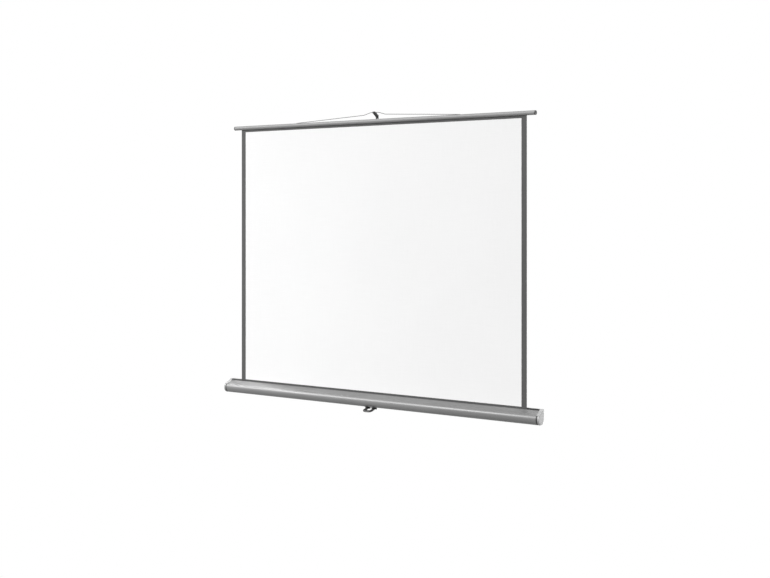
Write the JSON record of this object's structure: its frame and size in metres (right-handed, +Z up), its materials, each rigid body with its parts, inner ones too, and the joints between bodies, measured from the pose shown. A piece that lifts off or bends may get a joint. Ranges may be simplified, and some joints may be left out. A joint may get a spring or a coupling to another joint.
{
  "type": "portable projection screen",
  "caption": "Hanging pull-out projection screen: wire hanger on a wall hook, slim top bar, bordered white cloth, and a spring-roller case with a pull handle at the bottom.",
  "frame": {"origin": "axis of the wall hook's screw hole, on the wall face", "axes": "+X to the right of a person facing the picture, -Y towards that person, +Z up"},
  "size_m": [1.7, 0.1037, 1.404],
  "materials": {
    "hook_plastic": "moulded black",
    "spring_wire": "bright drawn wire",
    "bar_metal": "satin anodised grey",
    "plug_plastic": "moulded dark grey",
    "lug_steel": "zinc plated",
    "cloth": "matt white coated cloth",
    "border": "matt black coating",
    "case_metal": "satin anodised silver",
    "pile": "black pile",
    "plate_plastic": "moulded black",
    "cap_plastic": "moulded pale grey",
    "screw_steel": "zinc plated",
    "handle_plastic": "moulded black",
    "roller_steel": "galvanised",
    "nylon": "natural nylon"
  },
  "bodies": {
    "hook": {"wall_hook": "hook_plastic"},
    "hanger": {"hanger_wire": "spring_wire"},
    "bar": {"top_bar": "bar_metal", "bar_plug_left": "plug_plastic", "bar_plug_right": "plug_plastic", "bail_bracket_left": "lug_steel", "bail_bracket_right": "lug_steel", "bail_rivets": "screw_steel", "fabric_welt": "nylon", "screen_fabric": "cloth", "border_coat": "border"},
    "case": {"case_extrusion": "case_metal", "slot_pile_front": "pile", "slot_pile_back": "pile", "end_plate_left": "plate_plastic", "end_plate_right": "plate_plastic", "end_cap_left": "cap_plastic", "end_cap_right": "cap_plastic", "end_cap_screws": "screw_steel", "handle_bracket": "handle_plastic", "handle_screws": "screw_steel", "handle_pin": "screw_steel", "spring_spindle": "roller_steel", "spindle_collar": "roller_steel", "power_spring": "spring_wire", "ratchet_wheel": "roller_steel", "gudgeon_bush": "nylon"},
    "roller": {"roller_tube": "roller_steel", "fabric_wraps": "cloth", "pawl_carrier": "nylon", "idle_plug": "nylon", "spindle_bush": "nylon", "spindle_end_bush": "nylon", "gudgeon_pin": "roller_steel", "pawl_pins": "screw_steel"},
    "upper_pawl": {"pawl_upper": "roller_steel"},
    "lower_pawl": {"pawl_lower": "roller_steel"},
    "handle": {"pull_handle": "handle_plastic"}
  },
  "joints": [
    {"name": "unhook_lift", "type": "slide", "parent": "hook", "child": "hanger", "axis": [0, 0, 1], "range_m": [0, 0.008]},
    {"name": "bail_fold", "type": "hinge", "parent": "hanger", "child": "bar", "pos_m": [0, -0.027, -0.0146], "axis": [1, 0, 0], "range_deg": [-25, 90]},
    {"name": "case_travel", "type": "slide", "parent": "bar", "child": "case", "axis": [0, 0, 1], "range_m": [0, 1.256], "deforming": ["screen_fabric", "border_coat"]},
    {"name": "roller_spin", "type": "hinge", "parent": "case", "child": "roller", "pos_m": [0, -0.05612, -1.3241], "axis": [1, 0, 0], "range_deg": [-4321, 1]},
    {"name": "pawl_upper_drop", "type": "hinge", "parent": "roller", "child": "upper_pawl", "pos_m": [0, -0.05612, -1.3106], "axis": [1, 0, 0], "range_deg": [0, 13.7]},
    {"name": "pawl_lower_drop", "type": "hinge", "parent": "roller", "child": "lower_pawl", "pos_m": [0, -0.05612, -1.3376], "axis": [1, 0, 0], "range_deg": [0, 13.7]},
    {"name": "handle_swing", "type": "hinge", "parent": "case", "child": "handle", "pos_m": [0, -0.058, -1.3593], "axis": [1, 0, 0], "range_deg": [-12, 75]}
  ],
  "couplings": [
    {"joint": "roller_spin", "follows": "case_travel", "rad_per_m": -60.03}
  ]
}
